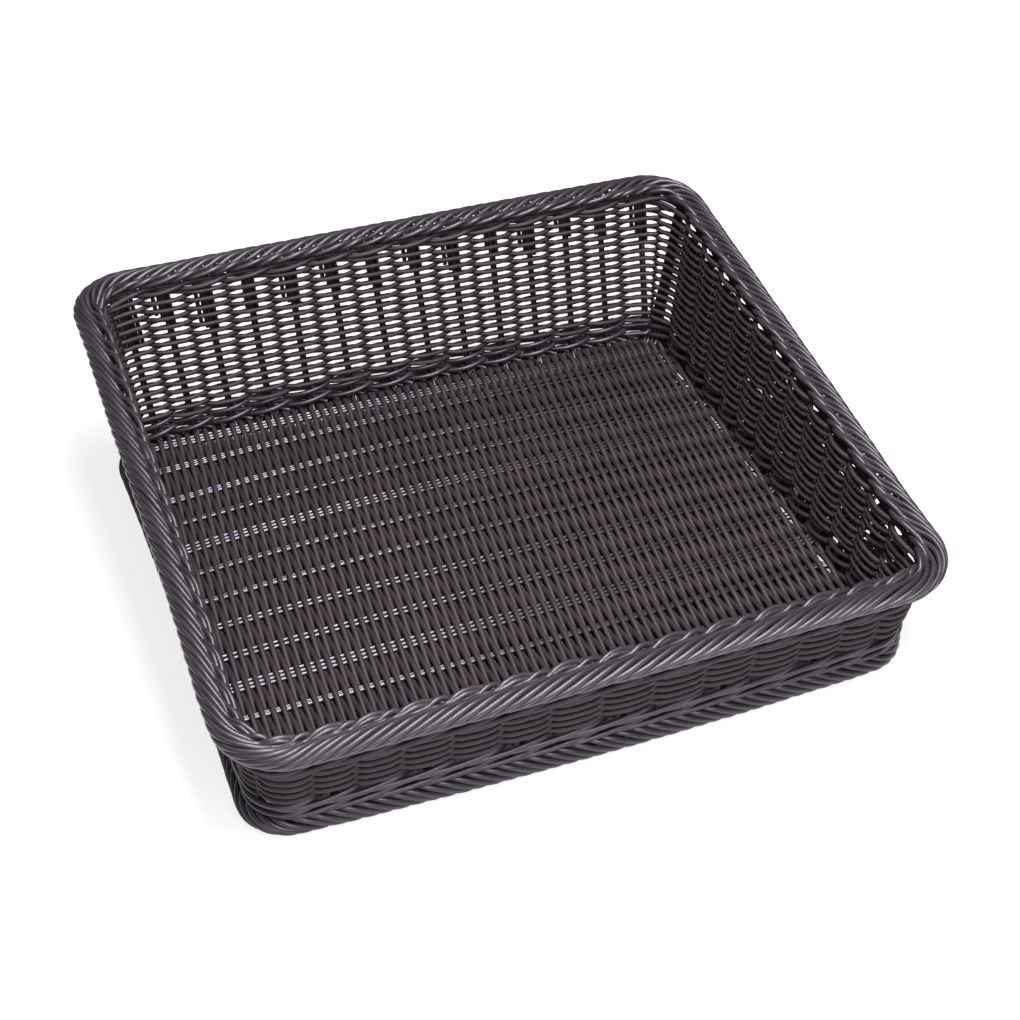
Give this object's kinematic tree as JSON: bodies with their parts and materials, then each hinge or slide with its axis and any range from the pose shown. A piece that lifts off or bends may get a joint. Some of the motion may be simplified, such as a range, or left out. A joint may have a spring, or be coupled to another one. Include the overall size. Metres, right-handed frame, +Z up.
{
  "type": "poly rattan basket",
  "caption": "Shallow rectangular display basket with rounded corners, woven from round plastic rattan strand, with a high back, a low front, a rolled rim border and a foot border.",
  "frame": {"origin": "On the floor under the middle of the bounding box. The foot border's flat underside lies in the plane Z = 0.", "axes": "+X runs to the right along the low front side, the longest way; +Y from the low front side to the high back side; +Z up, the shortest way."},
  "size_m": [0.4, 0.365, 0.1254],
  "materials": {
    "weave_strand": "dark brown-grey extruded plastic strand with fine grain, satin",
    "stake_strand": "the same strand in flat groups, in the shade of the weave, satin",
    "border_strand": "the same strand rolled tightly in the borders, with soft lilac-grey highlights"
  },
  "bodies": {
    "root": {"base_weave": "weave_strand", "foot_border": "border_strand", "bottom_wale": "border_strand", "front_wall_weave": "weave_strand", "back_wall_weave": "weave_strand", "left_wall_weave": "weave_strand", "right_wall_weave": "weave_strand", "front_left_corner_weave": "weave_strand", "front_right_corner_weave": "weave_strand", "back_left_corner_weave": "weave_strand", "back_right_corner_weave": "weave_strand", "side_stake_01": "stake_strand", "side_stake_02": "stake_strand", "side_stake_03": "stake_strand", "side_stake_04": "stake_strand", "side_stake_05": "stake_strand", "side_stake_06": "stake_strand", "side_stake_07": "stake_strand", "side_stake_08": "stake_strand", "side_stake_09": "stake_strand", "side_stake_10": "stake_strand", "side_stake_11": "stake_strand", "side_stake_12": "stake_strand", "side_stake_13": "stake_strand", "front_stake_01": "stake_strand", "front_stake_02": "stake_strand", "front_stake_03": "stake_strand", "front_stake_04": "stake_strand", "front_stake_05": "stake_strand", "front_stake_06": "stake_strand", "front_stake_07": "stake_strand", "front_stake_08": "stake_strand", "front_stake_09": "stake_strand", "front_stake_10": "stake_strand", "front_stake_11": "stake_strand", "front_stake_12": "stake_strand", "front_stake_13": "stake_strand", "front_stake_14": "stake_strand", "back_stake_01": "stake_strand", "back_stake_02": "stake_strand", "back_stake_03": "stake_strand", "back_stake_04": "stake_strand", "back_stake_05": "stake_strand", "back_stake_06": "stake_strand", "back_stake_07": "stake_strand", "back_stake_08": "stake_strand", "back_stake_09": "stake_strand", "back_stake_10": "stake_strand", "back_stake_11": "stake_strand", "back_stake_12": "stake_strand", "back_stake_13": "stake_strand", "back_stake_14": "stake_strand", "rim_border": "border_strand"}
  },
  "joints": []
}
